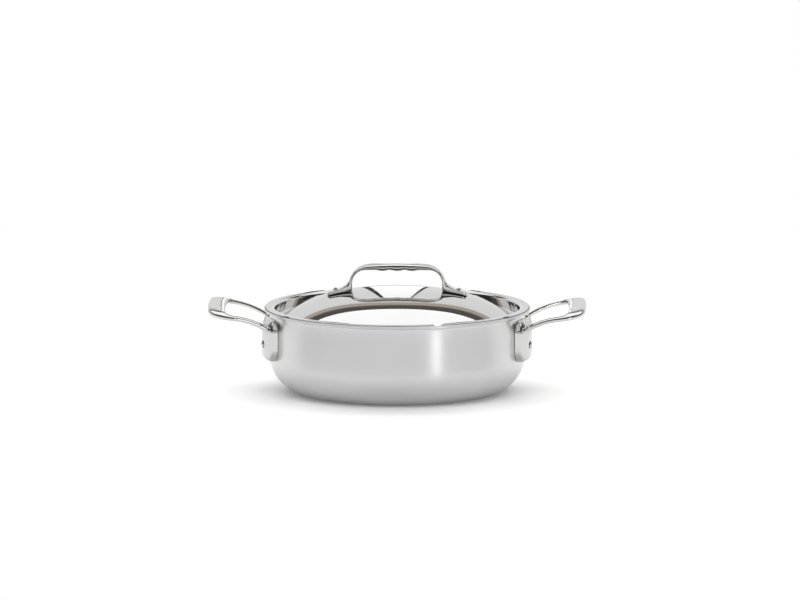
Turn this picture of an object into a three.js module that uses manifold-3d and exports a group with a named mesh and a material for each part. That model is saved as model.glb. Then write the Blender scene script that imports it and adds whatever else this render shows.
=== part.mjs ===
// A two-handled clad saute pan with a recessed dome lid. Millimetres, +Z up.
// The origin is the middle of the base on the surface it stands on, and +X runs through the right handle.
import * as THREE from 'three';
import { mergeVertices } from 'three/addons/utils/BufferGeometryUtils.js';
import Module from 'manifold-3d';

const wasm = await Module();
wasm.setup();

const degree = Math.PI / 180;

// Pan body: outside sizes and the plies of the clad sheet
const panRadius = 120;
const panHeight = 79.6;
const baseBendRadius = 34.8;
const outerPly = 0.5;
const corePly = 1.6;
const innerPly = 0.4;
const lipBendRadius = 3;
const lipBendAngle = 75 * degree;
const lipLand = 2.7;

// Lid pressing: heights are from the top of the lip
const lidSheet = 1;
const lidEdgeInset = 0.9;
const lidWallClearance = 1.8;
const flangeBendRadius = 2.6;
const troughDepth = 11.5;
const troughRadius = 3;
const domeEdgeAngle = 38 * degree;
const domeHeight = 17.5;

// Arch handle on the lid: its height is from the crown of the dome
const archHeight = 24.2;
const archCrown = 1;
const archOpening = 83.8;
const archGripThickness = 6.8;
const archLegThickness = 3.3;
const archLegLean = 17 * degree;
const archWidth = 16;
const archOuterCorner = 20;
const archInnerCorner = 12;
const archEdgeRound = 1.2;
const footLength = 24;
const footRootThickness = 3.8;
const footEndThickness = 3.2;
const footCorner = 4;
const footBlendRun = 8.8;
const footBlendPull = 5.5;
const fingerBumps = 3;
const fingerBumpPitch = 14;
const fingerBumpDepth = 1;

// Side handles: a loop of two bars and a grip, on two lugs joined by a web
// Drops are from the top of the lip
const handleReach = 58;
const gripWidth = 16.7;
const gripThickness = 7;
const gripRoll = 10 * degree;
const gripRise = 3;
const gripBowRadius = 500;
const gripSquareness = 3.2;
const loopSpread = 110;
const loopOuterCorner = 20;
const loopInnerCorner = 4;
const barWidth = 7.6;
const barThickness = 4.6;
const barRoll = -16 * degree;
const barSplay = 17 * degree;
const barSquareness = 2.6;
const barEndDrop = 2.7;
const barRootDrop = 16.4;
const barSweepPower = 2.5;
const twistRun = 26;
const lugSpacing = 61;
const lugWidth = 35;
const lugThickness = 9.6;
const lugTopDrop = 12.5;
const lugBottomDrop = 46.5;
const lugCrownRadius = 40;
const lugEdgeRound = 3;
const lugCorner = 8.5;
const webThickness = 7;
const webDepth = 12;
const webEdgeRound = 3.4;

// Rivets
const rivetDrop = 30.7;
const rivetShankRadius = 3;
const rivetHeadRadius = 6.5;
const rivetHeadHeight = 1.8;
const rivetTailRadius = 3.8;
const rivetTailHeight = 1.3;
const lidRivetInset = 8.8;
const lidRivetShankRadius = 1.7;
const lidRivetHeadRadius = 4.6;
const lidRivetHeadHeight = 1.2;
const lidRivetTailRadius = 2.6;
const lidRivetTailHeight = 1.6;

// Clearances: between seated pieces, round a rivet's shank, and the line between bonded plies
const seatGap = 0.3;
const shankGap = 0.3;
const bondGap = 0.02;

// Facets
const roundSegments = 48;
const baseBendSteps = 4;
const smallBendSteps = 3;
const troughSteps = 3;
const domeSteps = 5;
const domeSpread = 0.7;
const rivetSegments = 12;
const capSteps = 2;
const barSides = 10;
const bowSteps = 3;
const cornerSteps = 5;
const barSteps = 5;
const lugCurveSteps = 4;
const webSteps = 6;
const archCurveSteps = 5;
const footCurveSteps = 3;
const bumpSteps = 4;
const roundingSteps = 2;

const wallThickness = outerPly + corePly + innerPly;

const satinSteel = { color: 0xc9cacc, roughness: 0.38, metalness: 1 };
const aluminium = { color: 0xb9bcc0, roughness: 0.5, metalness: 1 };
const cookingSteel = { color: 0xd0d0d0, roughness: 0.3, metalness: 1 };
const polishedSteel = { color: 0xdcdcda, roughness: 0.08, metalness: 1 };

function piece(name, geometry, finish) {
  const mesh = new THREE.Mesh(geometry, new THREE.MeshStandardMaterial(finish));
  mesh.name = name;
  return mesh;
}

// A skin with its shared points merged and the flat triangles at its poles left out
function closed(geometry) {
  geometry.deleteAttribute('normal');
  geometry.deleteAttribute('uv');
  const merged = mergeVertices(geometry);
  const kept = [];
  for (let i = 0; i < merged.index.count; i += 3) {
    const [a, b, c] = merged.index.array.slice(i, i + 3);
    if (a !== b && b !== c && c !== a) kept.push(a, b, c);
  }
  merged.setIndex(kept);
  return merged;
}

function solid(geometry) {
  const skin = closed(geometry);
  return new wasm.Manifold(new wasm.Mesh({
    numProp: 3,
    vertProperties: new Float32Array(skin.attributes.position.array),
    triVerts: new Uint32Array(skin.index.array),
  }));
}

function geometryOf(body) {
  const mesh = body.getMesh();
  const geometry = new THREE.BufferGeometry();
  geometry.setAttribute('position', new THREE.BufferAttribute(mesh.vertProperties, 3));
  geometry.setIndex(new THREE.BufferAttribute(mesh.triVerts, 1));
  return geometry;
}

// A profile of radius and height turned about Z
function turned(profile, segments) {
  return new THREE.LatheGeometry(profile, segments).rotateX(Math.PI / 2);
}

function cylinder(radius, bottom, top, segments) {
  const profile = [[0, bottom], [radius, bottom], [radius, top], [0, top]];
  return turned(profile.map(([r, z]) => new THREE.Vector2(r, z)), segments);
}

function arcPoints(centreR, centreZ, radius, from, to, steps) {
  return Array.from({ length: steps + 1 }, (_, i) => {
    const angle = THREE.MathUtils.lerp(from, to, i / steps);
    return new THREE.Vector2(centreR + radius * Math.cos(angle), centreZ + radius * Math.sin(angle));
  });
}

// The same run of points moved to its left by a distance: the other face of a sheet
function offsetProfile(points, distance) {
  const last = points.length - 1;
  return points.map((point, i) => {
    const into = points[Math.max(i, 1)].clone().sub(points[Math.max(i, 1) - 1]).normalize();
    const out = points[Math.min(i, last - 1) + 1].clone().sub(points[Math.min(i, last - 1)]).normalize();
    const along = into.clone().add(out).normalize();
    const move = new THREE.Vector2(-along.y, along.x).multiplyScalar(distance / along.dot(into));
    if (point.x === 0) move.set(0, distance);
    return point.clone().add(move);
  });
}

// A sheet turned about Z between two faces of one profile that starts on the axis
function turnedSheet(profile, lowerFace, upperFace) {
  const under = offsetProfile(profile, lowerFace);
  const over = offsetProfile(profile, upperFace).reverse();
  return turned([...under, ...over], roundSegments);
}

// Outside of the pan, from the middle of the base to the edge of the lip
function panProfile() {
  const bendRise = (lipBendRadius + wallThickness) * Math.sin(lipBendAngle);
  const lipStart = panHeight - bendRise - lipLand * Math.cos(lipBendAngle);
  const baseFlat = panRadius - baseBendRadius;
  const lipCentre = panRadius + lipBendRadius;
  const lipTurn = Math.PI - lipBendAngle;
  const base = arcPoints(baseFlat, baseBendRadius, baseBendRadius, -Math.PI / 2, 0, baseBendSteps);
  const lip = arcPoints(lipCentre, lipStart, lipBendRadius, Math.PI, lipTurn, smallBendSteps);
  const land = new THREE.Vector2(Math.sin(lipBendAngle), Math.cos(lipBendAngle)).multiplyScalar(lipLand);
  return [new THREE.Vector2(0, 0), ...base, ...lip, lip.at(-1).clone().add(land)];
}

const panOutside = panProfile();
const lipEdge = offsetProfile(panOutside, wallThickness).at(-1);

// The dome is level at its crown, and meets the trough's bend at that bend's slope
const stepRadius = panRadius - wallThickness - lidWallClearance - lidSheet;
const troughCentreR = stepRadius - troughRadius;
const troughCentreZ = panHeight - troughDepth + troughRadius;
const domeEdgeR = troughCentreR - troughRadius * Math.sin(domeEdgeAngle);
const domeEdgeZ = troughCentreZ - troughRadius * Math.cos(domeEdgeAngle);
const crownZ = panHeight + domeHeight;
const domeDrop = crownZ - domeEdgeZ;
const domeQuartic = (Math.tan(domeEdgeAngle) - 2 * domeDrop / domeEdgeR) / (2 * domeEdgeR ** 3);
const domeSquare = domeDrop / domeEdgeR ** 2 - domeQuartic * domeEdgeR ** 2;

function domeZ(radius) {
  return crownZ - domeSquare * radius ** 2 - domeQuartic * radius ** 4;
}

function domeLean(radius) {
  return Math.atan(2 * domeSquare * radius + 4 * domeQuartic * radius ** 3);
}

// Points on the dome, closer together towards the edge, where it curves more
function domeProfile() {
  return Array.from({ length: domeSteps }, (_, i) => {
    const radius = domeEdgeR * (i / domeSteps) ** domeSpread;
    return new THREE.Vector2(radius, domeZ(radius));
  });
}

// Top face of the lid, from the crown out over the dome, the trough and the step wall to the flange's edge
function lidProfile() {
  const troughStart = -Math.PI / 2 - domeEdgeAngle;
  const trough = arcPoints(troughCentreR, troughCentreZ, troughRadius, troughStart, 0, troughSteps);
  const lean = Math.PI / 2 - lipBendAngle;
  const outward = new THREE.Vector2(Math.cos(lean), Math.sin(lean));
  const upward = new THREE.Vector2(-Math.sin(lean), Math.cos(lean));
  const edge = lipEdge.clone()
    .addScaledVector(upward, seatGap + lidSheet)
    .addScaledVector(outward, -lidEdgeInset);
  const bendCentreR = stepRadius + flangeBendRadius;
  const flangeStartR = bendCentreR - flangeBendRadius * Math.sin(lean);
  const flangeStartZ = edge.y - (edge.x - flangeStartR) * Math.tan(lean);
  const bendCentreZ = flangeStartZ - flangeBendRadius * Math.cos(lean);
  const bendEnd = Math.PI / 2 + lean;
  const bend = arcPoints(bendCentreR, bendCentreZ, flangeBendRadius, Math.PI, bendEnd, smallBendSteps);
  return [...domeProfile(), ...trough, ...bend, edge];
}

const lidTop = lidProfile();

// A rivet along +Z: the head's seat is at z 0 and the tail's seat is one grip length above it
function rivetGeometry({ shank, headRadius, headHeight, tailRadius, tailHeight }, grip) {
  const domed = (radius, height) => {
    const sphere = (radius ** 2 + height ** 2) / (2 * height);
    const points = arcPoints(0, height - sphere, sphere, Math.PI / 2, Math.acos(radius / sphere), capSteps);
    points[0].x = 0;
    return points;
  };
  const head = domed(headRadius, headHeight).map(({ x, y }) => new THREE.Vector2(x, -y));
  const tail = domed(tailRadius, tailHeight).map(({ x, y }) => new THREE.Vector2(x, grip + y)).reverse();
  const stem = [new THREE.Vector2(shank, 0), new THREE.Vector2(shank, grip)];
  return turned([...head, ...stem, ...tail], rivetSegments);
}

// Front is the -Y side, and each lug's axis runs out level from the pan's axis at its own angle
const lugAngle = Math.asin(lugSpacing / 2 / panRadius);
const lugFace = panRadius + lugThickness;
const rivetZ = panHeight - rivetDrop;
const handlePlaces = [
  { side: 'left', turn: Math.PI, lugs: { front: Math.PI + lugAngle, rear: Math.PI - lugAngle } },
  { side: 'right', turn: 0, lugs: { front: -lugAngle, rear: lugAngle } },
];

function lugAxis(angle, reach) {
  return new THREE.Matrix4().makeRotationZ(angle)
    .multiply(new THREE.Matrix4().makeTranslation(reach, 0, rivetZ))
    .multiply(new THREE.Matrix4().makeRotationY(Math.PI / 2));
}

function rivetHole(angle) {
  const hole = cylinder(rivetShankRadius + shankGap, 0, 2 * lugFace, rivetSegments);
  return solid(hole.applyMatrix4(lugAxis(angle, 0)));
}

function panPlies() {
  const holes = handlePlaces.flatMap(({ lugs }) => Object.values(lugs)).map(rivetHole);
  const core = outerPly + corePly;
  const plies = [
    ['pan_outer_ply', 0, outerPly, satinSteel],
    ['pan_core_ply', outerPly + bondGap, core, aluminium],
    ['pan_inner_ply', core + bondGap, wallThickness, cookingSteel],
  ];
  return plies.map(([name, lowerFace, upperFace, finish]) => {
    const sheet = solid(turnedSheet(panOutside, lowerFace, upperFace));
    const drilled = holes.reduce((body, hole) => body.subtract(hole), sheet);
    return piece(name, geometryOf(drilled), finish);
  });
}

// A closed skin over rings of points, with a flat cap on each end
function loft(rings) {
  const sides = rings[0].length;
  const last = (rings.length - 1) * sides;
  const index = [];
  for (let ring = 0; ring < last; ring += sides) {
    for (let side = 0; side < sides; side += 1) {
      const a = ring + side;
      const b = ring + (side + 1) % sides;
      index.push(a, b + sides, b, a, a + sides, b + sides);
    }
  }
  for (let side = 1; side < sides - 1; side += 1) {
    index.push(0, side, side + 1, last, last + side + 1, last + side);
  }
  const geometry = new THREE.BufferGeometry().setFromPoints(rings.flat());
  geometry.setIndex(index);
  return geometry;
}

const loopReach = panRadius + handleReach;
const bowX = loopReach - gripBowRadius;

// Half of an edge of the loop from above: the bow of the grip, a round corner and a splayed bar to the lug
function loopEdge(bowRadius, halfSpread, cornerRadius) {
  const inside = bowRadius - cornerRadius;
  const cornerY = halfSpread - cornerRadius;
  const bowAngle = Math.asin(cornerY / inside);
  const cornerX = bowX + inside * Math.cos(bowAngle);
  const bow = arcPoints(bowX, 0, bowRadius, 0, bowAngle, bowSteps);
  const corner = arcPoints(cornerX, cornerY, cornerRadius, bowAngle, Math.PI / 2 + barSplay, cornerSteps);
  const end = corner.at(-1);
  const rootX = panRadius * Math.cos(lugAngle) - wallThickness;
  const root = new THREE.Vector2(rootX, end.y - (end.x - rootX) * Math.tan(barSplay));
  const bar = Array.from({ length: barSteps }, (_, i) => end.clone().lerp(root, (i + 1) / barSteps));
  return [...bow, ...corner.slice(1), ...bar];
}

// Pairs of an outer and an inner edge point, with each pair's share of the grip's form, none on the bars
function loopPairs() {
  const outer = loopEdge(gripBowRadius, loopSpread / 2, loopOuterCorner);
  const inner = loopEdge(gripBowRadius - gripWidth, loopSpread / 2 - barWidth, loopInnerCorner);
  const middles = outer.map((point, i) => point.clone().add(inner[i]).divideScalar(2));
  const gone = [0];
  for (let i = 1; i < middles.length; i += 1) gone.push(gone[i - 1] + middles[i].distanceTo(middles[i - 1]));
  const barEnd = gone[bowSteps + cornerSteps];
  const half = middles.map((middle, i) => ({
    middle,
    span: outer[i].clone().sub(inner[i]),
    gripShare: THREE.MathUtils.smoothstep(barEnd - gone[i], 0, twistRun),
  }));
  const acrossX = ({ x, y }) => new THREE.Vector2(x, -y);
  const mirrored = half.slice(1).reverse().map(({ middle, span, gripShare }) => (
    { middle: acrossX(middle), span: acrossX(span), gripShare }
  ));
  return [...mirrored, ...half];
}

function superellipse(value, squareness) {
  return Math.sign(value) * Math.abs(value) ** (2 / squareness);
}

// The bars leave the lugs low and sweep up; round the corners they twist, widen and rise into the grip
function loopBody() {
  const pairs = loopPairs();
  const gripX = loopReach - gripWidth / 2;
  const line = pairs.map(({ middle, gripShare }) => {
    const toGo = Math.max((gripX - middle.x) / (gripX - panRadius), 0);
    const drop = THREE.MathUtils.lerp(barEndDrop, barRootDrop, toGo ** barSweepPower) - gripRise * gripShare;
    return new THREE.Vector3(middle.x, middle.y, panHeight - drop);
  });
  const upright = new THREE.Vector3(0, 0, 1);
  const rings = pairs.map(({ span, gripShare }, i) => {
    const along = line[Math.min(i + 1, line.length - 1)].clone().sub(line[Math.max(i - 1, 0)]).normalize();
    const across = new THREE.Vector3(span.x, span.y, 0);
    const square = along.clone().cross(upright).normalize();
    across.z = across.dot(square) * Math.tan(THREE.MathUtils.lerp(barRoll, gripRoll, gripShare));
    const up = across.clone().cross(along).normalize();
    const halfThickness = THREE.MathUtils.lerp(barThickness, gripThickness, gripShare) / 2;
    const squareness = THREE.MathUtils.lerp(barSquareness, gripSquareness, gripShare);
    return Array.from({ length: barSides }, (_, side) => {
      const angle = 2 * Math.PI * side / barSides;
      return line[i].clone()
        .addScaledVector(across, superellipse(Math.cos(angle), squareness) / 2)
        .addScaledVector(up, superellipse(Math.sin(angle), squareness) * halfThickness);
    });
  });
  return solid(loft(rings));
}

function rounding(size) {
  return { bevelThickness: size, bevelSize: size, bevelOffset: -size, bevelSegments: roundingSteps };
}

function roundedRectangle(halfWidth, bottom, top, corner) {
  const turn = halfWidth - corner;
  const outline = new THREE.Shape();
  outline.absarc(turn, top - corner, corner, 0, Math.PI / 2);
  outline.absarc(-turn, top - corner, corner, Math.PI / 2, Math.PI);
  outline.absarc(-turn, bottom + corner, corner, Math.PI, 1.5 * Math.PI);
  outline.absarc(turn, bottom + corner, corner, 1.5 * Math.PI, 2 * Math.PI);
  return outline;
}

// A lug: an upright pad that starts inside the wall's line, crowned across its face and rounded over its ends
function lugBody(angle) {
  const bottom = panHeight - lugBottomDrop;
  const top = panHeight - lugTopDrop;
  const start = panRadius - wallThickness;
  const outward = { depth: lugThickness + wallThickness, curveSegments: lugCurveSteps, bevelEnabled: false };
  const pad = new THREE.ExtrudeGeometry(roundedRectangle(lugWidth / 2, bottom, top, lugCorner), outward);
  pad.translate(0, 0, start).rotateX(Math.PI / 2).rotateZ(Math.PI / 2 + angle);
  const endR = lugCrownRadius - lugEdgeRound;
  const crown = turned([
    new THREE.Vector2(0, bottom),
    ...arcPoints(endR, bottom + lugEdgeRound, lugEdgeRound, -Math.PI / 2, 0, smallBendSteps),
    ...arcPoints(endR, top - lugEdgeRound, lugEdgeRound, 0, Math.PI / 2, smallBendSteps),
    new THREE.Vector2(0, top),
  ], roundSegments);
  crown.translate(lugFace - lugCrownRadius, 0, 0).rotateZ(angle);
  return solid(pad).intersect(solid(crown));
}

// The web between the lugs: a band that follows the wall
function webBody() {
  const outline = new THREE.Shape();
  outline.absarc(0, 0, panRadius + webThickness, -lugAngle, lugAngle);
  outline.absarc(0, 0, panRadius - 2 * webEdgeRound, lugAngle, -lugAngle, true);
  const band = new THREE.ExtrudeGeometry(outline, {
    depth: webDepth - 2 * webEdgeRound,
    curveSegments: webSteps,
    ...rounding(webEdgeRound),
  });
  return solid(band.translate(0, 0, panHeight - lugTopDrop - webDepth + webEdgeRound));
}

function sideHandles() {
  const wall = solid(cylinder(panRadius + seatGap, 0, 2 * panHeight, roundSegments));
  const lugAngles = [lugAngle, -lugAngle];
  const casting = lugAngles.map(lugBody).reduce((body, lug) => body.add(lug), loopBody().add(webBody()));
  const drilled = lugAngles.map(rivetHole).reduce((body, hole) => body.subtract(hole), casting);
  const geometry = geometryOf(drilled.subtract(wall));
  return handlePlaces.map(({ side, turn }) => {
    const handle = piece(`handle_${side}`, geometry.clone(), polishedSteel);
    handle.rotation.z = turn;
    return handle;
  });
}

// The flat seat of a rivet's head lies across the hollow of the round wall
function handleRivets() {
  const hollow = Math.sqrt((panRadius - wallThickness) ** 2 - rivetHeadRadius ** 2);
  const headSeat = hollow * Math.cos(Math.PI / roundSegments) - seatGap;
  const sizes = {
    shank: rivetShankRadius,
    headRadius: rivetHeadRadius,
    headHeight: rivetHeadHeight,
    tailRadius: rivetTailRadius,
    tailHeight: rivetTailHeight,
  };
  return handlePlaces.flatMap(({ side, lugs }) => Object.entries(lugs).map(([end, angle]) => {
    const geometry = closed(rivetGeometry(sizes, lugFace + seatGap - headSeat));
    const rivet = piece(`rivet_${side}_${end}`, geometry, polishedSteel);
    rivet.applyMatrix4(lugAxis(angle, headSeat));
    return rivet;
  }));
}

const archInside = archOpening / 2;
const footEnd = archInside + footLength;
const lidRivetX = footEnd - lidRivetInset;
const lidSides = [{ side: 'left', sign: -1 }, { side: 'right', sign: 1 }];

// Square to the dome at a foot's rivet, from a height over the dome
function footAxis(sign, height) {
  return new THREE.Matrix4().makeTranslation(sign * lidRivetX, 0, domeZ(lidRivetX))
    .multiply(new THREE.Matrix4().makeRotationY(sign * domeLean(lidRivetX)))
    .multiply(new THREE.Matrix4().makeTranslation(0, 0, height));
}

function lidRivetHole({ sign }) {
  const holeRadius = lidRivetShankRadius + shankGap;
  const hole = cylinder(holeRadius, -footRootThickness, 2 * footRootThickness, rivetSegments);
  return solid(hole.applyMatrix4(footAxis(sign, 0)));
}

function lidShell() {
  const sheet = solid(turnedSheet(lidTop, -lidSheet, 0));
  const drilled = lidSides.map(lidRivetHole).reduce((body, hole) => body.subtract(hole), sheet);
  return piece('lid_shell', geometryOf(drilled), polishedSteel);
}

// Half of the arch's front outline, from its top over the leg and foot to the finger bumps under the grip
function archHalf() {
  const outside = archInside + archLegThickness;
  const top = crownZ + archHeight;
  const under = top - archGripThickness;
  const blendEnd = outside + footBlendRun;
  const footUnder = domeZ(footEnd) - footEndThickness;
  const half = new THREE.Path();
  const cornerX = outside - archOuterCorner;
  const cornerTop = top - archCrown;
  half.moveTo(0, top);
  half.quadraticCurveTo(cornerX / 2, top, cornerX, cornerTop);
  half.absarc(cornerX, cornerTop - archOuterCorner, archOuterCorner, Math.PI / 2, archLegLean, true);
  const { x: legX, y: legZ } = half.currentPoint;
  const pullX = legX + footBlendPull * Math.sin(archLegLean);
  const pullZ = legZ - footBlendPull * Math.cos(archLegLean);
  half.quadraticCurveTo(pullX, pullZ, blendEnd, domeZ(blendEnd) + seatGap + footRootThickness);
  half.lineTo(footEnd, domeZ(footEnd) + seatGap + footEndThickness);
  half.lineTo(footEnd, footUnder);
  half.lineTo(archInside, footUnder);
  half.absarc(archInside - archInnerCorner, under - archInnerCorner, archInnerCorner, 0, Math.PI / 2);
  const bumpPoints = fingerBumps * bumpSteps;
  for (let i = bumpPoints; i >= 0; i -= 1) {
    const x = fingerBumpPitch * fingerBumps / 2 * i / bumpPoints;
    half.lineTo(x, under - fingerBumpDepth * Math.cos(Math.PI * x / fingerBumpPitch) ** 2);
  }
  return half.getPoints(archCurveSteps);
}

// The arch: its front outline through its width, rounded off in plan at the feet, on the dome
function lidHandle() {
  const half = archHalf();
  const mirrored = half.slice(1, -1).map(({ x, y }) => new THREE.Vector2(-x, y)).reverse();
  const bar = new THREE.ExtrudeGeometry(new THREE.Shape([...half, ...mirrored]), {
    depth: archWidth - 2 * archEdgeRound,
    ...rounding(archEdgeRound),
  });
  bar.translate(0, 0, archEdgeRound - archWidth / 2).rotateX(Math.PI / 2);
  const plan = roundedRectangle(footEnd, -archWidth / 2, archWidth / 2, footCorner);
  const upright = { depth: 2 * crownZ, curveSegments: footCurveSteps, bevelEnabled: false };
  const prism = new THREE.ExtrudeGeometry(plan, upright);
  const seat = offsetProfile(lidTop, seatGap).slice(0, domeSteps).reverse();
  const dome = turned([new THREE.Vector2(0, 0), new THREE.Vector2(seat[0].x, 0), ...seat], roundSegments);
  const seated = solid(bar).intersect(solid(prism)).subtract(solid(dome));
  const drilled = lidSides.map(lidRivetHole).reduce((body, hole) => body.subtract(hole), seated);
  return piece('lid_handle', geometryOf(drilled), polishedSteel);
}

function lidRivets() {
  const headSeat = -lidSheet - 2 * seatGap;
  const sizes = {
    shank: lidRivetShankRadius,
    headRadius: lidRivetHeadRadius,
    headHeight: lidRivetHeadHeight,
    tailRadius: lidRivetTailRadius,
    tailHeight: lidRivetTailHeight,
  };
  return lidSides.map(({ side, sign }) => {
    const geometry = closed(rivetGeometry(sizes, footRootThickness + 2 * seatGap - headSeat));
    const rivet = piece(`lid_rivet_${side}`, geometry, polishedSteel);
    rivet.applyMatrix4(footAxis(sign, headSeat));
    return rivet;
  });
}

const sautePan = new THREE.Group();
sautePan.add(...panPlies(), ...sideHandles(), ...handleRivets());
const lid = new THREE.Group();
lid.add(lidShell(), lidHandle(), ...lidRivets());
sautePan.add(lid);

export default sautePan;
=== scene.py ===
import math
import bmesh
import bpy
from mathutils import Matrix, Vector


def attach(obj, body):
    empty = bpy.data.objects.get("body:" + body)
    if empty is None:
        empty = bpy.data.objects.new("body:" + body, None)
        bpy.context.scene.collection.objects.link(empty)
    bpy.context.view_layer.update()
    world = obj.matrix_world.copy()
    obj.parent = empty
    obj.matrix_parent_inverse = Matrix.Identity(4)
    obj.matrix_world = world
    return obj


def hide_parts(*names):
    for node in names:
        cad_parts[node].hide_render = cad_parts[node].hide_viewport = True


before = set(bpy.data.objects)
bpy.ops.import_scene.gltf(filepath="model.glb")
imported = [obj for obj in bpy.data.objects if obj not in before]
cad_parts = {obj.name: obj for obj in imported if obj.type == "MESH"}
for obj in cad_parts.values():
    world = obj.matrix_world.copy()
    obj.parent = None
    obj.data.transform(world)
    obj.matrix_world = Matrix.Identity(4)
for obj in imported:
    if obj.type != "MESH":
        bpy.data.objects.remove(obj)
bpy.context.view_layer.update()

scene = bpy.context.scene
scene.view_settings.view_transform = "Standard"
mm = 0.001
upZ = Vector((0, 0, 1))
weldDistance = 0.001 * mm
sharpAngle = math.radians(40)
mixColour = 2  # the place of a Mix node's colour output


def linear(hexColour):
    # sRGB hex to the linear colour that a socket takes
    channels = [int(hexColour[i:i + 2], 16) / 255 for i in (1, 3, 5)]
    return [c / 12.92 if c <= 0.04045 else ((c + 0.055) / 1.055) ** 2.4 for c in channels] + [1]


def addNode(tree, kind, settings=None, links=None):
    # settings go to the sockets or the properties of that name, links to the sockets
    node = tree.nodes.new(kind)
    for name, value in (settings or {}).items():
        if isinstance(name, int) or name in node.inputs:
            node.inputs[name].default_value = value
        else:
            setattr(node, name, value)
    for name, socket in (links or {}).items():
        tree.links.new(socket, node.inputs[name])
    return node


def newMaterial(name, settings):
    material = bpy.data.materials.new(name)
    material.use_nodes = True
    shader = material.node_tree.nodes["Principled BSDF"]
    for socket, value in settings.items():
        shader.inputs[socket].default_value = value
    return material, material.node_tree, shader


# Belt-ground clad stainless: soft satin that smears reflections up and down the wall
satin = {
    "light": "#e8e8e8", "dark": "#e0e0e0", "cloudMm": 45, "smooth": 0.26, "rough": 0.35, "lineMm": 0.5,
    "lineRunMm": 125, "ridge": 0.015, "ridgeMm": 0.05, "anisotropy": 0.8, "blurTurn": 0.25,
}
# the quarter turn makes the blur run across the grind lines
satinSteel, tree, shader = newMaterial("SatinGroundStainless", {
    "Metallic": 1, "Anisotropic": satin["anisotropy"], "Anisotropic Rotation": satin["blurTurn"],
})
place = addNode(tree, "ShaderNodeTexCoord").outputs["Object"]
# grind lines run round the wall: close together up it, long along it; 0.1 mm really, drawn coarser to show
along, up = 1 / (satin["lineRunMm"] * mm), 1 / (satin["lineMm"] * mm)
grind = addNode(tree, "ShaderNodeMapping", {"Scale": (along, along, up)}, {"Vector": place})
lines = addNode(
    tree, "ShaderNodeTexNoise", {"Scale": 1.0, "Detail": 3.0, "Roughness": 0.6}, {"Vector": grind.outputs["Vector"]})
cloud = addNode(
    tree, "ShaderNodeTexNoise", {"Scale": 1 / (satin["cloudMm"] * mm), "Detail": 2.0}, {"Vector": place})
tint = addNode(
    tree, "ShaderNodeMix", {"data_type": "RGBA", "A": linear(satin["light"]), "B": linear(satin["dark"])},
    {"Factor": cloud.outputs["Fac"]})
tree.links.new(tint.outputs[mixColour], shader.inputs["Base Color"])
rub = addNode(
    tree, "ShaderNodeMapRange", {"To Min": satin["smooth"], "To Max": satin["rough"]}, {"Value": lines.outputs["Fac"]})
tree.links.new(rub.outputs["Result"], shader.inputs["Roughness"])
ridge = addNode(
    tree, "ShaderNodeBump", {"Strength": satin["ridge"], "Distance": satin["ridgeMm"] * mm},
    {"Height": lines.outputs["Fac"]})
tree.links.new(ridge.outputs["Normal"], shader.inputs["Normal"])
around = addNode(tree, "ShaderNodeTangent", {"direction_type": "RADIAL", "axis": "Z"})
tree.links.new(around.outputs["Tangent"], shader.inputs["Tangent"])

# Buffed stainless sheet: a true mirror with a faint haze from the wheel
buffed = {"light": "#dfdfde", "dark": "#d8d8d7", "clear": 0.02, "haze": 0.07, "swirlMm": 30}
mirrorSteel, tree, shader = newMaterial("BuffedMirrorStainless", {"Metallic": 1})
place = addNode(tree, "ShaderNodeTexCoord").outputs["Object"]
swirl = addNode(
    tree, "ShaderNodeTexNoise", {"Scale": 1 / (buffed["swirlMm"] * mm), "Detail": 4.0}, {"Vector": place})
tint = addNode(
    tree, "ShaderNodeMix", {"data_type": "RGBA", "A": linear(buffed["light"]), "B": linear(buffed["dark"])},
    {"Factor": swirl.outputs["Fac"]})
tree.links.new(tint.outputs[mixColour], shader.inputs["Base Color"])
haze = addNode(
    tree, "ShaderNodeMapRange",
    {"From Min": 0.3, "From Max": 0.8, "To Min": buffed["clear"], "To Max": buffed["haze"]},
    {"Value": swirl.outputs["Fac"]})
tree.links.new(haze.outputs["Result"], shader.inputs["Roughness"])

# Investment-cast stainless, tumbled and polished: bright, with a slow ripple the mould leaves
cast = {
    "light": "#dededc", "dark": "#d2d2d0", "clear": 0.05, "haze": 0.12, "rippleMm": 9, "grainMm": 1.2,
    "mould": 0.12, "mouldMm": 0.25,
}
castSteel, tree, shader = newMaterial("PolishedCastStainless", {"Metallic": 1})
place = addNode(tree, "ShaderNodeTexCoord").outputs["Object"]
ripple = addNode(
    tree, "ShaderNodeTexNoise", {"Scale": 1 / (cast["rippleMm"] * mm), "Detail": 1.0}, {"Vector": place})
grain = addNode(
    tree, "ShaderNodeTexNoise", {"Scale": 1 / (cast["grainMm"] * mm), "Detail": 3.0}, {"Vector": place})
tint = addNode(
    tree, "ShaderNodeMix", {"data_type": "RGBA", "A": linear(cast["light"]), "B": linear(cast["dark"])},
    {"Factor": grain.outputs["Fac"]})
tree.links.new(tint.outputs[mixColour], shader.inputs["Base Color"])
haze = addNode(
    tree, "ShaderNodeMapRange", {"To Min": cast["clear"], "To Max": cast["haze"]}, {"Value": grain.outputs["Fac"]})
tree.links.new(haze.outputs["Result"], shader.inputs["Roughness"])
mould = addNode(
    tree, "ShaderNodeBump", {"Strength": cast["mould"], "Distance": cast["mouldMm"] * mm},
    {"Height": ripple.outputs["Fac"]})
tree.links.new(mould.outputs["Normal"], shader.inputs["Normal"])

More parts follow.
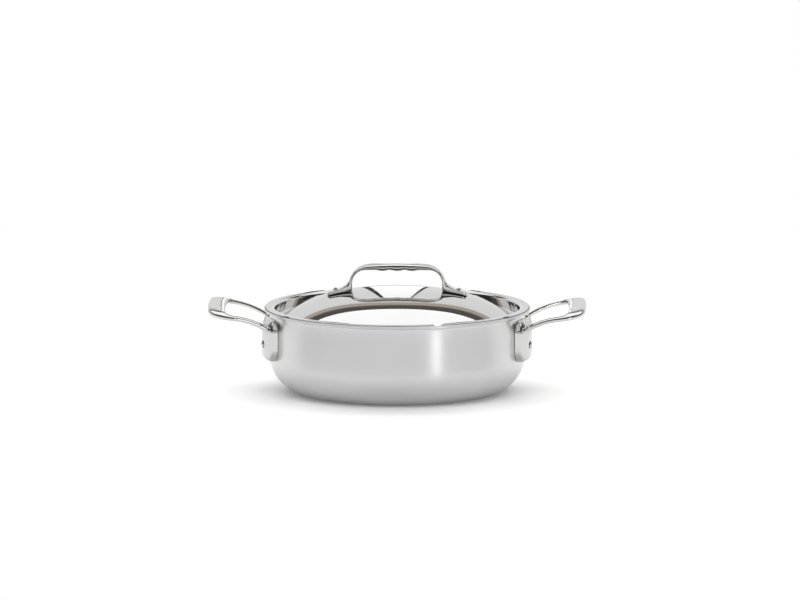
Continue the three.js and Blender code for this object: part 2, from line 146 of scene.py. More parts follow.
# Cold-headed stainless rivets: polished domes with tool marks round the rim
headed = {"light": "#d8d8d6", "dark": "#bdbdbb", "clear": 0.08, "haze": 0.2, "markMm": 0.8}
rivetSteel, tree, shader = newMaterial("ColdHeadedStainless", {"Metallic": 1})
place = addNode(tree, "ShaderNodeTexCoord").outputs["Object"]
marks = addNode(
    tree, "ShaderNodeTexNoise", {"Scale": 1 / (headed["markMm"] * mm), "Detail": 3.0}, {"Vector": place})
tint = addNode(
    tree, "ShaderNodeMix", {"data_type": "RGBA", "A": linear(headed["light"]), "B": linear(headed["dark"])},
    {"Factor": marks.outputs["Fac"]})
tree.links.new(tint.outputs[mixColour], shader.inputs["Base Color"])
haze = addNode(
    tree, "ShaderNodeMapRange", {"To Min": headed["clear"], "To Max": headed["haze"]}, {"Value": marks.outputs["Fac"]})
tree.links.new(haze.outputs["Result"], shader.inputs["Roughness"])

# Rolled aluminium core, bare only along the cut lip: duller and softer than the steel
rolled = {"light": "#dcdddf", "dark": "#cdcfd1", "roughness": 0.3, "drawMm": 0.6}
coreAluminium, tree, shader = newMaterial("RolledAluminiumCore", {"Metallic": 1, "Roughness": rolled["roughness"]})
place = addNode(tree, "ShaderNodeTexCoord").outputs["Object"]
draw = addNode(
    tree, "ShaderNodeTexNoise", {"Scale": 1 / (rolled["drawMm"] * mm), "Detail": 2.0}, {"Vector": place})
tint = addNode(
    tree, "ShaderNodeMix", {"data_type": "RGBA", "A": linear(rolled["light"]), "B": linear(rolled["dark"])},
    {"Factor": draw.outputs["Fac"]})
tree.links.new(tint.outputs[mixColour], shader.inputs["Base Color"])

# Cooking surface: stainless spun against an abrasive pad, which leaves fine rings about the middle
spun = {
    "light": "#d2d2d2", "dark": "#bfbfc0", "roughness": 0.26, "ringMm": 0.7, "score": 0.08, "scoreMm": 0.05,
    "anisotropy": 0.7,
}
cookingSteel, tree, shader = newMaterial("PadBrushedCookingStainless", {
    "Metallic": 1, "Roughness": spun["roughness"], "Anisotropic": spun["anisotropy"],
})
place = addNode(tree, "ShaderNodeTexCoord").outputs["Object"]
flat = addNode(tree, "ShaderNodeVectorMath", {"operation": "MULTIPLY", 1: (1, 1, 0)}, {0: place})
reach = addNode(tree, "ShaderNodeVectorMath", {"operation": "LENGTH"}, {0: flat.outputs["Vector"]})
height = addNode(tree, "ShaderNodeSeparateXYZ", {}, {"Vector": place})
run = addNode(
    tree, "ShaderNodeMath", {"operation": "ADD"}, {0: reach.outputs["Value"], 1: height.outputs["Z"]})
rings = addNode(
    tree, "ShaderNodeTexNoise", {"noise_dimensions": "1D", "Scale": 1 / (spun["ringMm"] * mm), "Detail": 3.0},
    {"W": run.outputs["Value"]})
tint = addNode(
    tree, "ShaderNodeMix", {"data_type": "RGBA", "A": linear(spun["light"]), "B": linear(spun["dark"])},
    {"Factor": rings.outputs["Fac"]})
tree.links.new(tint.outputs[mixColour], shader.inputs["Base Color"])
score = addNode(
    tree, "ShaderNodeBump", {"Strength": spun["score"], "Distance": spun["scoreMm"] * mm},
    {"Height": rings.outputs["Fac"]})
tree.links.new(score.outputs["Normal"], shader.inputs["Normal"])
around = addNode(tree, "ShaderNodeTangent", {"direction_type": "RADIAL", "axis": "Z"})
tree.links.new(around.outputs["Tangent"], shader.inputs["Tangent"])
print("materials made")


def arcPoints(centreR, centreZ, radius, start, end, steps):
    angles = [start + (end - start) * i / steps for i in range(steps + 1)]
    return [Vector((centreR + radius * math.cos(a), centreZ + radius * math.sin(a))) for a in angles]


def offsetLine(points, distance):
    # the same line moved to its left, mitred at each corner
    moved = []
    for i, point in enumerate(points):
        into = (points[max(i, 1)] - points[max(i, 1) - 1]).normalized()
        out = (points[min(i + 1, len(points) - 1)] - points[min(i, len(points) - 2)]).normalized()
        along = (into + out).normalized()
        step = distance / along.dot(into)
        shift = Vector((0, distance)) if point.x == 0 else Vector((-along.y, along.x)) * step
        moved.append(point + shift)
    return moved


def spinLine(points, steps):
    # a line of radius and height spun about Z
    bm = bmesh.new()
    verts = [bm.verts.new((p.x, 0, p.y)) for p in points]
    edges = [bm.edges.new(pair) for pair in zip(verts, verts[1:])]
    bmesh.ops.spin(
        bm, geom=verts + edges, cent=(0, 0, 0), axis=upZ, angle=2 * math.pi, steps=steps, use_merge=True)
    return bm


def meshFrom(bm, name):
    mesh = bpy.data.meshes.new(name)
    bm.to_mesh(mesh)
    bm.free()
    return mesh


def finishPiece(bm, name, body, slot, material, *nodes):
    bmesh.ops.remove_doubles(bm, verts=bm.verts, dist=weldDistance)
    bmesh.ops.recalc_face_normals(bm, faces=bm.faces)
    mesh = meshFrom(bm, name)
    mesh.materials.append(material)
    mesh.shade_smooth()
    mesh.set_sharp_from_angle(angle=sharpAngle)
    piece = bpy.data.objects.new(name, mesh)
    scene.collection.objects.link(piece)
    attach(piece, body)
    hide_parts(*nodes)


# Pan: the outside line of the clad sheet, from the middle of the base to the edge of the lip
pan = {
    "radius": 120 * mm, "height": 79.6 * mm, "baseRing": 48 * mm, "baseBend": 34.8 * mm,
    "plies": (0.5 * mm, 1.6 * mm, 0.4 * mm), "bond": 0.02 * mm,
    "lipBend": 3 * mm, "lipAngle": math.radians(86), "lipLand": 2 * mm,
    "baseSteps": 20, "wallSteps": 4, "lipSteps": 10, "steps": 192,
}
outer, core, inner = pan["plies"]
wall = outer + core + inner
lipRise = (pan["lipBend"] + wall) * math.sin(pan["lipAngle"])
lipStart = pan["height"] - lipRise - pan["lipLand"] * math.cos(pan["lipAngle"])
wallRise = (lipStart - pan["baseBend"]) / pan["wallSteps"]
panLine = [Vector((0, 0)), Vector((pan["baseRing"], 0))]
panLine += arcPoints(
    pan["radius"] - pan["baseBend"], pan["baseBend"], pan["baseBend"], -math.pi / 2, 0, pan["baseSteps"])
panLine += [Vector((pan["radius"], pan["baseBend"] + wallRise * i)) for i in range(1, pan["wallSteps"])]
panLine += arcPoints(
    pan["radius"] + pan["lipBend"], lipStart, pan["lipBend"], math.pi, math.pi - pan["lipAngle"], pan["lipSteps"])
land = Vector((math.sin(pan["lipAngle"]), math.cos(pan["lipAngle"]))) * pan["lipLand"]
panLine.append(panLine[-1] + land)
plies = [
    ("panOuterPly", 0, outer, "satin_stainless", satinSteel, "pan_outer_ply"),
    ("panCorePly", outer + pan["bond"], outer + core, "aluminium_core", coreAluminium, "pan_core_ply"),
    ("panInnerPly", outer + core + pan["bond"], wall, "cooking_stainless", cookingSteel, "pan_inner_ply"),
]
for name, lower, upper, slot, material, node in plies:
    under, over = offsetLine(panLine, lower), offsetLine(panLine, upper)
    for line in (under, over):
        line[-1] += land * ((panLine[-1].x - line[-1].x) / land.x)  # the rim is trimmed upright
    finishPiece(spinLine(under + over[::-1], pan["steps"]), name, "pan", slot, material, node)
print("pan plies made")

# Lid: the top line of the pressed sheet, from the crown over dome, trough and step wall to the flange's edge
lid = {
    "sheet": 1 * mm, "edgeInset": 0.9 * mm, "wallClearance": 1.8 * mm, "flangeBend": 2.6 * mm, "seat": 0.3 * mm,
    "troughDepth": 11.5 * mm, "troughRadius": 3 * mm, "domeAngle": math.radians(38), "domeHeight": 17.5 * mm,
    "domeSteps": 48, "troughSteps": 14, "flangeSteps": 10, "steps": 224,
}
stepRadius = pan["radius"] - wall - lid["wallClearance"] - lid["sheet"]
troughR = stepRadius - lid["troughRadius"]
troughZ = pan["height"] - lid["troughDepth"] + lid["troughRadius"]
domeEdgeR = troughR - lid["troughRadius"] * math.sin(lid["domeAngle"])
domeEdgeZ = troughZ - lid["troughRadius"] * math.cos(lid["domeAngle"])
crownZ = pan["height"] + lid["domeHeight"]
domeDrop = crownZ - domeEdgeZ
domeQuartic = (math.tan(lid["domeAngle"]) - 2 * domeDrop / domeEdgeR) / (2 * domeEdgeR ** 3)
domeSquare = domeDrop / domeEdgeR ** 2 - domeQuartic * domeEdgeR ** 2


def domeZ(radius):
    return crownZ - domeSquare * radius ** 2 - domeQuartic * radius ** 4


def domeLean(radius):
    return math.atan(2 * domeSquare * radius + 4 * domeQuartic * radius ** 3)


lean = math.pi / 2 - pan["lipAngle"]
lipEdge = offsetLine(panLine, wall)[-1]
outward, upward = Vector((math.cos(lean), math.sin(lean))), Vector((-math.sin(lean), math.cos(lean)))
flangeEdge = lipEdge + upward * (lid["seat"] + lid["sheet"]) - outward * lid["edgeInset"]
bendR = stepRadius + lid["flangeBend"]
bendStartR = bendR - lid["flangeBend"] * math.sin(lean)
bendZ = flangeEdge.y - (flangeEdge.x - bendStartR) * math.tan(lean) - lid["flangeBend"] * math.cos(lean)
domeRadii = [domeEdgeR * i / lid["domeSteps"] for i in range(lid["domeSteps"])]
lidLine = [Vector((radius, domeZ(radius))) for radius in domeRadii]
lidLine += arcPoints(
    troughR, troughZ, lid["troughRadius"], -math.pi / 2 - lid["domeAngle"], 0, lid["troughSteps"])
lidLine += arcPoints(bendR, bendZ, lid["flangeBend"], math.pi, math.pi / 2 + lean, lid["flangeSteps"])
lidLine += [lidLine[-1].lerp(flangeEdge, 0.5), flangeEdge]
lidSheet = lidLine + offsetLine(lidLine, -lid["sheet"])[::-1]
finishPiece(spinLine(lidSheet, lid["steps"]), "lidShell", "lid", "mirror_stainless", mirrorSteel, "lid_shell")
print("lid pressing made")


def sweepSections(sections, sides):
    # one ring extruded from section to section, each ring a rounded rectangle; squareness 2 is an ellipse
    bm = bmesh.new()
    ring = bmesh.ops.create_circle(bm, segments=sides, radius=1)["verts"]
    turns = [math.atan2(v.co.y, v.co.x) for v in ring]
    edges = list(bm.edges)
    firstEdges = edges
    for i, (centre, across, up, halfWidth, halfThick, squareness) in enumerate(sections):
        if i:
            made = bmesh.ops.extrude_edge_only(bm, edges=edges)["geom"]
            fresh = {g for g in made if isinstance(g, bmesh.types.BMVert)}
            edges = [g for g in made if isinstance(g, bmesh.types.BMEdge) and fresh.issuperset(g.verts)]
            ring = [next(e.other_vert(v) for e in v.link_edges if e.other_vert(v) in fresh) for v in ring]
        for vert, turn in zip(ring, turns):
            c, s = math.cos(turn), math.sin(turn)
            wide = math.copysign(abs(c) ** (2 / squareness), c) * halfWidth
            thick = math.copysign(abs(s) ** (2 / squareness), s) * halfThick
            vert.co = centre + across * wide + up * thick
    bmesh.ops.contextual_create(bm, geom=firstEdges)
    bmesh.ops.contextual_create(bm, geom=edges)
    return bm


def spacedPoints(points, count):
    # points at even steps along a line of short straights
    lengths = [0]
    for a, b in zip(points, points[1:]):
        lengths.append(lengths[-1] + (b - a).length)
    spaced, k = [], 0
    for i in range(count + 1):
        want = lengths[-1] * i / count
        while k < len(points) - 2 and lengths[k + 1] < want:
            k += 1
        span = lengths[k + 1] - lengths[k]
        spaced.append(points[k].lerp(points[k + 1], (want - lengths[k]) / span if span else 0))
    return spaced


def smoothStep(value, low, high):
    t = min(max((value - low) / (high - low), 0), 1)
    return t * t * (3 - 2 * t)


# Side handles: a cast loop on two lugs with a web between them; drops and tops are from the top of the lip
handle = {
    "reach": 57.9 * mm, "spread": 110 * mm, "bowRadius": 500 * mm, "outerCorner": 20 * mm, "innerCorner": 4 * mm,
    "gripWidth": 16.7 * mm, "gripThick": 7 * mm, "gripRoll": math.radians(10), "gripRise": 3 * mm, "gripSquare": 3.2,
    "barWidth": 7.6 * mm, "barThick": 4.6 * mm, "barRoll": math.radians(-16), "barSplay": math.radians(17),
    "barDrop": 2.7 * mm, "barRootDrop": 16.4 * mm, "barSquare": 2.6, "sweepPower": 2.5, "twistRun": 26 * mm,
    "bowSteps": 36, "cornerSteps": 24, "barSteps": 40, "sides": 40,
    "lugSpacing": 61 * mm, "lugWidth": 35 * mm, "lugThick": 9.6 * mm, "lugTop": 6.5 * mm, "lugBottom": 46.5 * mm,
    "lugCrown": 40 * mm, "lugCorner": 12 * mm, "lugRound": 6.5 * mm, "lugTopRound": 12 * mm,
    "lugCornerSteps": 10, "lugRings": 16,
    "webTop": 12.5 * mm, "webDepth": 12 * mm, "webThick": 7 * mm, "webRound": 3.4 * mm,
    "webRoundSteps": 6, "webSteps": 24,
    "voxel": 0.6 * mm, "smoothing": 8, "smoothShare": 0.5, "seat": 0.3 * mm, "seatSides": 256, "seatTall": 300 * mm,
}
lugAngle = math.asin(handle["lugSpacing"] / 2 / pan["radius"])
reachX = pan["radius"] + handle["reach"]
bowX = reachX - handle["bowRadius"]


def edgeLine(bow, half, corner):
    # half of an edge from above: the bow of the grip, a round corner and a splayed bar down to the lug
    inside = bow - corner
    bowAngle = math.asin((half - corner) / inside)
    line = arcPoints(bowX, 0, bow, 0, bowAngle, handle["bowSteps"])
    cornerX, cornerEnd = bowX + inside * math.cos(bowAngle), math.pi / 2 + handle["barSplay"]
    line += arcPoints(cornerX, half - corner, corner, bowAngle, cornerEnd, handle["cornerSteps"])[1:]
    rootX = pan["radius"] * math.cos(lugAngle) - wall
    start = line[-1]
    root = Vector((rootX, start.y - (start.x - rootX) * math.tan(handle["barSplay"])))
    return line + [start.lerp(root, i / handle["barSteps"]) for i in range(1, handle["barSteps"] + 1)]


def loopSections():
    half = handle["spread"] / 2
    outerEdge = edgeLine(handle["bowRadius"], half, handle["outerCorner"])
    innerEdge = edgeLine(
        handle["bowRadius"] - handle["gripWidth"], half - handle["barWidth"], handle["innerCorner"])
    pairs = list(zip(outerEdge, innerEdge))
    gone = [0]
    for (o, i), (p, q) in zip(pairs, pairs[1:]):
        gone.append(gone[-1] + (p + q - o - i).length / 2)
    cornerGone = gone[handle["bowSteps"] + handle["cornerSteps"]]
    shares = [smoothStep(cornerGone - g, 0, handle["twistRun"]) for g in gone]
    flip = Vector((1, -1))
    pairs = [(o * flip, i * flip) for o, i in pairs[:0:-1]] + pairs
    shares = shares[:0:-1] + shares
    barFall, halfGrip = handle["barRootDrop"] - handle["barDrop"], handle["gripWidth"] / 2
    line = []
    for (o, i), share in zip(pairs, shares):
        middle = (o + i) / 2
        toGo = max((reachX - halfGrip - middle.x) / (handle["reach"] - halfGrip), 0)
        drop = handle["barDrop"] + barFall * toGo ** handle["sweepPower"] - handle["gripRise"] * share
        line.append(Vector((middle.x, middle.y, pan["height"] - drop)))
    sections = []
    for k, ((o, i), share, point) in enumerate(zip(pairs, shares, line)):
        along = (line[min(k + 1, len(line) - 1)] - line[max(k - 1, 0)]).normalized()
        roll = handle["barRoll"] + (handle["gripRoll"] - handle["barRoll"]) * share
        span = Vector((o.x - i.x, o.y - i.y, 0))
        span.z = span.dot(along.cross(upZ).normalized()) * math.tan(roll)
        across = span.normalized()
        thick = handle["barThick"] + (handle["gripThick"] - handle["barThick"]) * share
        square = handle["barSquare"] + (handle["gripSquare"] - handle["barSquare"]) * share
        sections.append((point, across, across.cross(along).normalized(), span.length / 2, thick / 2, square))
    return sections


def lugFront(y, z, bottom, top):
    # how far out the lug's face lies, with its crown and its rounded ends
    rounding, fromEnd = handle["lugRound"], max(z - bottom, 0)
    if z > (bottom + top) / 2:
        rounding, fromEnd = handle["lugTopRound"], max(top - z, 0)
    inset = max(rounding - fromEnd, 0)
    crown = handle["lugCrown"] - rounding + math.sqrt(rounding ** 2 - inset ** 2)
    front = pan["radius"] + handle["lugThick"] - handle["lugCrown"] + math.sqrt(crown ** 2 - y ** 2)
    return max(front, pan["radius"] - wall)


def makeLug(angle):
    # an upright pad with round corners, crowned across its face and rounded over its ends
    bm = bmesh.new()
    bottom, top = pan["height"] - handle["lugBottom"], pan["height"] - handle["lugTop"]
    corner, count = handle["lugCorner"], handle["lugRings"]
    turnY = handle["lugWidth"] / 2 - corner
    low, high = bottom + corner, top - corner
    outline = []
    for k, (y, z) in enumerate(((turnY, high), (-turnY, high), (-turnY, low), (turnY, low))):
        outline += arcPoints(y, z, corner, k * math.pi / 2, (k + 1) * math.pi / 2, handle["lugCornerSteps"])
    middle = Vector((0, (bottom + top) / 2))
    rings = [[bm.verts.new((pan["radius"] - 2 * wall, p.x, p.y)) for p in outline]]
    for i in range(count):
        ring = [p.lerp(middle, i / count) for p in outline]
        rings.append([bm.verts.new((lugFront(p.x, p.y, bottom, top), p.x, p.y)) for p in ring])
    loops = [[bm.edges.new((a, b)) for a, b in zip(ring, ring[1:] + ring[:1])] for ring in rings]
    for below, above in zip(loops, loops[1:]):
        bmesh.ops.bridge_loops(bm, edges=below + above)
    bm.faces.new(rings[0])
    bm.faces.new(rings[-1])
    pad = [v for ring in rings for v in ring]
    bmesh.ops.rotate(bm, verts=pad, cent=(0, 0, 0), matrix=Matrix.Rotation(angle, 3, "Z"))
    return bm


def makeWeb():
    # a band between the lugs: its upright section spun along the wall
    bm = bmesh.new()
    top = pan["height"] - handle["webTop"]
    low, inR, outR = top - handle["webDepth"], pan["radius"] - 2 * wall, pan["radius"] + handle["webThick"]
    r, steps = handle["webRound"], handle["webRoundSteps"]
    section = [Vector((inR, low))] + arcPoints(outR - r, low + r, r, -math.pi / 2, 0, steps)
    section += arcPoints(outR - r, top - r, r, 0, math.pi / 2, steps) + [Vector((inR, top))]
    verts = [bm.verts.new((p.x, 0, p.y)) for p in section]
    face = bm.faces.new(verts)
    bmesh.ops.rotate(bm, verts=verts, cent=(0, 0, 0), matrix=Matrix.Rotation(-lugAngle, 3, "Z"))
    bmesh.ops.spin(
        bm, geom=[face], cent=(0, 0, 0), axis=upZ, angle=2 * lugAngle, steps=handle["webSteps"], use_merge=False)
    return bm


def castHandle():
    # loop, lugs and web run together into one casting with soft fillets, then the wall's seat is cut
    loop = sweepSections(loopSections(), handle["sides"])
    joined = bmesh.new()
    for bm in (loop, makeLug(-lugAngle), makeLug(lugAngle), makeWeb()):
        bmesh.ops.remove_doubles(bm, verts=bm.verts, dist=weldDistance)
        bmesh.ops.recalc_face_normals(bm, faces=bm.faces)
        mesh = meshFrom(bm, "handlePart")
        joined.from_mesh(mesh)
        bpy.data.meshes.remove(mesh)
    blank = bpy.data.objects.new("castHandle", meshFrom(joined, "castHandle"))
    scene.collection.objects.link(blank)
    melt = blank.modifiers.new("melt", "REMESH")
    melt.mode, melt.voxel_size = "VOXEL", handle["voxel"]
    polish = blank.modifiers.new("polish", "SMOOTH")
    polish.factor, polish.iterations = handle["smoothShare"], handle["smoothing"]
    bm = bmesh.new()
    seatR = pan["radius"] + handle["seat"]
    bmesh.ops.create_cone(
        bm, cap_ends=True, segments=handle["seatSides"], radius1=seatR, radius2=seatR, depth=handle["seatTall"])
    cutter = bpy.data.objects.new("wallCut", meshFrom(bm, "wallCut"))
    scene.collection.objects.link(cutter)
    seat = blank.modifiers.new("seat", "BOOLEAN")
    seat.operation, seat.object, seat.solver = "DIFFERENCE", cutter, "EXACT"
    done = bmesh.new()
    done.from_mesh(bpy.data.meshes.new_from_object(blank.evaluated_get(bpy.context.evaluated_depsgraph_get())))
    bpy.data.objects.remove(blank)
    bpy.data.objects.remove(cutter)
    return done


right = castHandle()
left = right.copy()
bmesh.ops.rotate(left, verts=left.verts, cent=(0, 0, 0), matrix=Matrix.Rotation(math.pi, 3, "Z"))
finishPiece(right, "handleRight", "pan", "cast_stainless", castSteel, "handle_right")
finishPiece(left, "handleLeft", "pan", "cast_stainless", castSteel, "handle_left")
print("side handles made")

# Arch handle on the lid, from the middle of its top over the leg to the end of a foot
arch = {
    "height": 24.2 * mm, "crown": 1 * mm, "opening": 83.8 * mm, "gripThick": 6.8 * mm, "legThick": 3.9 * mm,
    "legLean": math.radians(17), "width": 16 * mm, "outerCorner": 20 * mm, "innerCorner": 12 * mm,
    "footLength": 24 * mm, "footRoot": 3.8 * mm, "footEnd": 3.2 * mm, "footCorner": 4 * mm,
    "blendRun": 8.8 * mm, "blendPull": 5.5 * mm, "bumps": 3, "bumpPitch": 14 * mm, "bumpDepth": 1 * mm,
    "legSquare": 2.3, "footSquare": 8, "squareRun": 8 * mm, "seat": 0.3 * mm,
    "gripSteps": 24, "cornerSteps": 24, "blendSteps": 20, "soleSteps": 10, "footSteps": 12, "sides": 48,
}
archIn = arch["opening"] / 2
footEnd = archIn + arch["footLength"]


def solePoint(x):
    return Vector((x, domeZ(x) + arch["seat"]))


def archLines():
    gripShares = [i / arch["gripSteps"] for i in range(arch["gripSteps"])]
    blendShares = [i / arch["blendSteps"] for i in range(1, arch["blendSteps"] + 1)]
    soleShares = [i / arch["soleSteps"] for i in range(arch["soleSteps"] + 1)]
    footShares = [i / arch["footSteps"] for i in range(1, arch["footSteps"] + 1)]
    top, out = crownZ + arch["height"], archIn + arch["legThick"]
    under = top - arch["gripThick"]
    corner, cornerX, cornerTop = arch["outerCorner"], out - arch["outerCorner"], top - arch["crown"]
    outerLine = [Vector((cornerX * t, top - arch["crown"] * t ** 2)) for t in gripShares]
    outerLine += arcPoints(
        cornerX, cornerTop - corner, corner, math.pi / 2, arch["legLean"], arch["cornerSteps"])
    leg = outerLine[-1]
    pull = leg + Vector((math.sin(arch["legLean"]), -math.cos(arch["legLean"]))) * arch["blendPull"]
    root = solePoint(out + arch["blendRun"]) + Vector((0, arch["footRoot"]))
    outerLine += [leg.lerp(pull, t).lerp(pull.lerp(root, t), t) for t in blendShares]
    tip = solePoint(footEnd) + Vector((0, arch["footEnd"]))
    outerLine += [root.lerp(tip, t) for t in footShares]
    turnX = archIn - arch["innerCorner"]
    innerLine = [Vector((turnX * t, under)) for t in gripShares]
    for p in innerLine:
        if p.x < arch["bumpPitch"] * arch["bumps"] / 2:
            p.y -= arch["bumpDepth"] * math.cos(math.pi * p.x / arch["bumpPitch"]) ** 2
    innerLine += arcPoints(
        turnX, under - arch["innerCorner"], arch["innerCorner"], math.pi / 2, 0, arch["cornerSteps"])
    sole = [solePoint(archIn + (root.x - archIn) * t) for t in soleShares]
    innerLine += spacedPoints([innerLine[-1]] + sole, arch["blendSteps"])[1:]
    innerLine += [solePoint(root.x + (footEnd - root.x) * t) for t in footShares]
    return outerLine, innerLine


def archSections():
    sections = []
    for over, below in zip(*archLines()):
        centre, depth = (over + below) / 2, over - below
        toEnd = max(arch["footCorner"] - (footEnd - centre.x), 0)
        narrow = arch["footCorner"] - math.sqrt(max(arch["footCorner"] ** 2 - toEnd ** 2, 0))
        footShare = smoothStep(centre.x, archIn, archIn + arch["squareRun"])
        square = arch["legSquare"] + (arch["footSquare"] - arch["legSquare"]) * footShare
        middle, up = Vector((centre.x, 0, centre.y)), Vector((depth.x, 0, depth.y)).normalized()
        sections.append((middle, Vector((0, 1, 0)), up, arch["width"] / 2 - narrow, depth.length / 2, square))
    mirrored = []
    for middle, across, up, halfWidth, halfThick, square in sections[:0:-1]:
        flipped = Vector((-middle.x, 0, middle.z)), across, Vector((-up.x, 0, up.z))
        mirrored.append((*flipped, halfWidth, halfThick, square))
    return mirrored + sections


archBody = sweepSections(archSections(), arch["sides"])
finishPiece(archBody, "lidHandle", "lid", "cast_stainless", castSteel, "lid_handle")
print("lid handle made")


def rivetLine(sizes, grip):
    # head below, tail above one grip length, both shallow domes
    def dome(radius, tall):
        ball = (radius ** 2 + tall ** 2) / (2 * tall)
        points = arcPoints(0, tall - ball, ball, math.pi / 2, math.acos(radius / ball), sizes["domeSteps"])
        points[0].x = 0
        return points
    head = [Vector((p.x, -p.y)) for p in dome(sizes["headR"], sizes["headH"])]
    tail = [Vector((p.x, grip + p.y)) for p in dome(sizes["tailR"], sizes["tailH"])]
    return head + [Vector((sizes["shank"], 0)), Vector((sizes["shank"], grip))] + tail[::-1]


# Handle rivets: the head inside the pan, the small tail on the lug
rivet = {
    "drop": 30.7 * mm, "shank": 3 * mm, "headR": 6.5 * mm, "headH": 1.8 * mm, "tailR": 3.8 * mm, "tailH": 1.3 * mm,
    "seat": 0.3 * mm, "domeSteps": 10, "sides": 40,
}
hollow = math.sqrt((pan["radius"] - wall) ** 2 - rivet["headR"] ** 2)
headSeat = hollow - 2 * rivet["seat"]
rivetGrip = pan["radius"] + handle["lugThick"] + rivet["seat"] - headSeat
lying = Matrix.Translation((headSeat, 0, pan["height"] - rivet["drop"])) @ Matrix.Rotation(math.pi / 2, 4, "Y")
for side, turn in (("left", math.pi), ("right", 0)):
    for end, angle in (("front", -lugAngle), ("rear", lugAngle)):
        spin = turn - angle if side == "left" else angle
        bm = spinLine(rivetLine(rivet, rivetGrip), rivet["sides"])
        bmesh.ops.transform(bm, matrix=Matrix.Rotation(spin, 4, "Z") @ lying, verts=bm.verts)
        node = "rivet_%s_%s" % (side, end)
        finishPiece(bm, node + "_head", "pan", "rivet_stainless", rivetSteel, node)

# Lid rivets: the head under the dome, the tail on the foot of the arch
lidRivet = {
    "inset": 8.8 * mm, "shank": 1.7 * mm, "headR": 4.6 * mm, "headH": 1.2 * mm, "tailR": 2.6 * mm, "tailH": 1.6 * mm,
    "seat": 0.3 * mm, "domeSteps": 10, "sides": 32,
}
lidRivetX = footEnd - lidRivet["inset"]
under = -lid["sheet"] - 2 * lidRivet["seat"]
lidRivetGrip = arch["footRoot"] + 2 * lidRivet["seat"] - under
for side, sign in (("left", -1), ("right", 1)):
    bm = spinLine(rivetLine(lidRivet, lidRivetGrip), lidRivet["sides"])
    onDome = Matrix.Translation((sign * lidRivetX, 0, domeZ(lidRivetX)))
    leaning = Matrix.Rotation(sign * domeLean(lidRivetX), 4, "Y")
    bmesh.ops.transform(bm, matrix=onDome @ leaning @ Matrix.Translation((0, 0, under)), verts=bm.verts)
    node = "lid_rivet_%s" % side
    finishPiece(bm, node + "_head", "lid", "rivet_stainless", rivetSteel, node)
print("rivets made")

# Floor: white paper that takes the light and the shadow near the pan and glows plain white further out
stage = {"size": 40, "seen": "#ffffff", "mirrored": "#e8e8e8", "glowShare": 0.1, "nearM": 0.5, "farM": 1.2}
floorMaterial, tree, shader = newMaterial("WhiteStudioPaper", {})
tree.nodes.remove(shader)
place = addNode(tree, "ShaderNodeTexCoord").outputs["Object"]
away = addNode(tree, "ShaderNodeVectorMath", {"operation": "LENGTH"}, {0: place})
fade = addNode(tree, "ShaderNodeMapRange", {
    "interpolation_type": "SMOOTHSTEP", "From Min": stage["nearM"], "From Max": stage["farM"],
    "To Min": stage["glowShare"],
}, {"Value": away.outputs["Value"]})
ray = addNode(tree, "ShaderNodeLightPath")
tone = addNode(
    tree, "ShaderNodeMix", {"data_type": "RGBA", "A": linear(stage["mirrored"]), "B": linear(stage["seen"])},
    {"Factor": ray.outputs["Is Camera Ray"]}).outputs[mixColour]
paper = addNode(tree, "ShaderNodeBsdfDiffuse", {}, {"Color": tone})
glow = addNode(tree, "ShaderNodeEmission", {"Strength": 1.0}, {"Color": tone})
sweepOut = addNode(tree, "ShaderNodeMixShader", {}, {
    "Fac": fade.outputs["Result"], 1: paper.outputs["BSDF"], 2: glow.outputs["Emission"],
})
tree.links.new(sweepOut.outputs["Shader"], tree.nodes["Material Output"].inputs["Surface"])
bm = bmesh.new()
bmesh.ops.create_grid(bm, x_segments=1, y_segments=1, size=stage["size"] / 2)
floorMesh = meshFrom(bm, "studioFloor")
floorMesh.materials.append(floorMaterial)
floor = bpy.data.objects.new("studioFloor", floorMesh)
scene.collection.objects.link(floor)

# Black flag cloth, dull and unlit: it stands behind a narrow white panel, and the crown of the lid mirrors its edges
cloth = {
    "wide": 0.137, "tall": 0.83, "at": (-0.035, 1.803, 0.57), "colour": "#242424", "worn": "#303030",
    "weaveMm": 6, "roughness": 0.9,
}
clothMaterial, tree, shader = newMaterial("BlackFlagCloth", {"Roughness": cloth["roughness"]})
place = addNode(tree, "ShaderNodeTexCoord").outputs["Object"]
weave = addNode(tree, "ShaderNodeTexNoise", {"Scale": 1 / (cloth["weaveMm"] * mm)}, {"Vector": place})
tint = addNode(
    tree, "ShaderNodeMix", {"data_type": "RGBA", "A": linear(cloth["colour"]), "B": linear(cloth["worn"])},
    {"Factor": weave.outputs["Fac"]})
tree.links.new(tint.outputs[mixColour], shader.inputs["Base Color"])
bm = bmesh.new()
bmesh.ops.create_grid(bm, x_segments=1, y_segments=1, size=0.5)
upright = Matrix.Rotation(math.pi / 2, 4, "X") @ Matrix.Diagonal((cloth["wide"], cloth["tall"], 1, 1))
bmesh.ops.transform(bm, matrix=Matrix.Translation(cloth["at"]) @ upright, verts=bm.verts)
clothMesh = meshFrom(bm, "flagCloth")
clothMesh.materials.append(clothMaterial)
flag = bpy.data.objects.new("flagCloth", clothMesh)
flag.visible_camera = flag.visible_diffuse = flag.visible_shadow = False
scene.collection.objects.link(flag)

# Studio round the pan: white for the camera; for the metal a pale sweep behind, a dark gap over it and a dim room
room = {
    "low": "#e8e8e8", "back": "#ebebeb", "rim": "#aa9a88", "haze": "#c2bcb2", "gap": "#5a5652",
    "ceiling": "#343434", "front": "#484848", "sweep": "#bcbcbc",
}
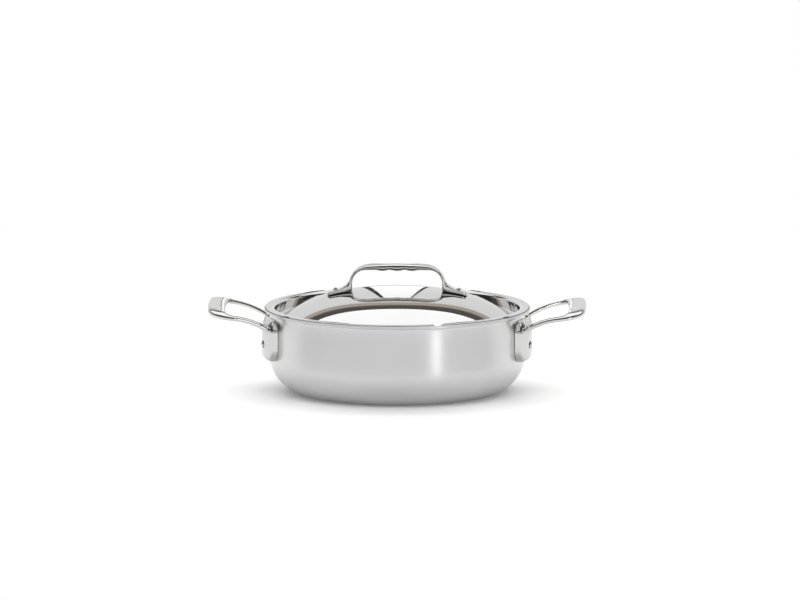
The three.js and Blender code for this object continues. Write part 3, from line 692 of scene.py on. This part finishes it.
# each stop is how far back a ray goes for each metre that it rises
stops = [
    (-8.0, "sweep"), (-4.5, "sweep"), (-3.2, "front"), (-0.6, "front"), (-0.5, "ceiling"), (0.9, "ceiling"),
    (1.0, "gap"), (1.30, "gap"), (1.45, "haze"), (1.58, "rim"), (1.70, "back"), (2.7, "back"), (3.3, "low"),
]
slopeEnd, leastRise = 8.0, 0.001
world = bpy.data.worlds.new("studio")
world.use_nodes = True
scene.world = world
tree = world.node_tree
tree.nodes.clear()
place = addNode(tree, "ShaderNodeTexCoord").outputs["Generated"]
axis = addNode(tree, "ShaderNodeSeparateXYZ", {}, {"Vector": place})
rise = addNode(tree, "ShaderNodeMath", {"operation": "MAXIMUM", 1: leastRise}, {0: axis.outputs["Z"]})
slope = addNode(
    tree, "ShaderNodeMath", {"operation": "DIVIDE"}, {0: axis.outputs["Y"], 1: rise.outputs["Value"]})
level = addNode(
    tree, "ShaderNodeMapRange", {"From Min": -slopeEnd, "From Max": slopeEnd}, {"Value": slope.outputs["Value"]})
band = addNode(tree, "ShaderNodeValToRGB", {}, {"Fac": level.outputs["Result"]})
while len(band.color_ramp.elements) < len(stops):
    band.color_ramp.elements.new(0.5)
for element, (slopeAt, zone) in zip(band.color_ramp.elements, stops):
    element.position = (slopeAt + slopeEnd) / (2 * slopeEnd)
    element.color = linear(room[zone])
ray = addNode(tree, "ShaderNodeLightPath")
seen = addNode(
    tree, "ShaderNodeMix", {"data_type": "RGBA", "B": linear("#ffffff")},
    {"Factor": ray.outputs["Is Camera Ray"], "A": band.outputs["Color"]})
sky = addNode(tree, "ShaderNodeBackground", {"Strength": 1.0}, {"Color": seen.outputs[mixColour]})
addNode(tree, "ShaderNodeOutputWorld", {}, {"Surface": sky.outputs["Background"]})

# Lamps: a softbox overhead with a wide fill over it, the white panel behind the pan, a strip to the right of the
# camera and a fill from the front; the metal doesn't mirror the fills
lamps = {
    "overhead": {"at": (0, 0.7, 1.5), "aim": (0, 0.7, 0), "size": (3.2, 1.4), "radiance": 1.3},
    "topFill": {"at": (0, 0.3, 1.9), "aim": (0, 0.3, 0), "size": (4.4, 3.2), "radiance": 1.06, "mirrored": False},
    "backPanel": {"at": (-0.0313, 1.8, 0.57), "aim": (-0.0313, 0, 0.57), "size": (0.112, 0.82), "radiance": 1.16},
    "rightStrip": {"at": (0.95, -1.35, 0.5), "aim": (0, 0, 0.4), "size": (0.17, 1.0), "radiance": 3.4},
    "frontFill": {"at": (0, -1.3, 1.2), "aim": (0, -0.45, 0), "size": (2.4, 0.8), "radiance": 2.0, "mirrored": False},
}
for name, lamp in lamps.items():
    data = bpy.data.lights.new(name, "AREA")
    data.shape = "RECTANGLE"
    data.size, data.size_y = lamp["size"]
    data.energy = lamp["radiance"] * math.pi * data.size * data.size_y  # watts that give this radiance
    light = bpy.data.objects.new(name, data)
    aim = Vector(lamp["aim"]) - Vector(lamp["at"])
    light.matrix_world = Matrix.Translation(lamp["at"]) @ aim.to_track_quat("-Z", "Y").to_matrix().to_4x4()
    light.visible_camera = False
    light.visible_glossy = lamp.get("mirrored", True)
    scene.collection.objects.link(light)
print("studio made")

# Camera: a long lens well back and a little above, set to the pan's rim, wall and base in the picture
lens = {
    "at": (138.01 * mm, -7906.84 * mm, 1249.49 * mm), "pitch": 8.369, "yaw": 0.981,
    "focalPx": 8510.7, "widthPx": 800, "sensorMm": 36, "farM": 100,
}
camera = bpy.data.objects.new("camera", bpy.data.cameras.new("camera"))
camera.data.sensor_width = lens["sensorMm"]
camera.data.lens = lens["focalPx"] / lens["widthPx"] * lens["sensorMm"]
camera.data.clip_end = lens["farM"]
camera.location = lens["at"]
camera.rotation_euler = (math.radians(90 - lens["pitch"]), 0, math.radians(lens["yaw"]))
scene.collection.objects.link(camera)
scene.camera = camera
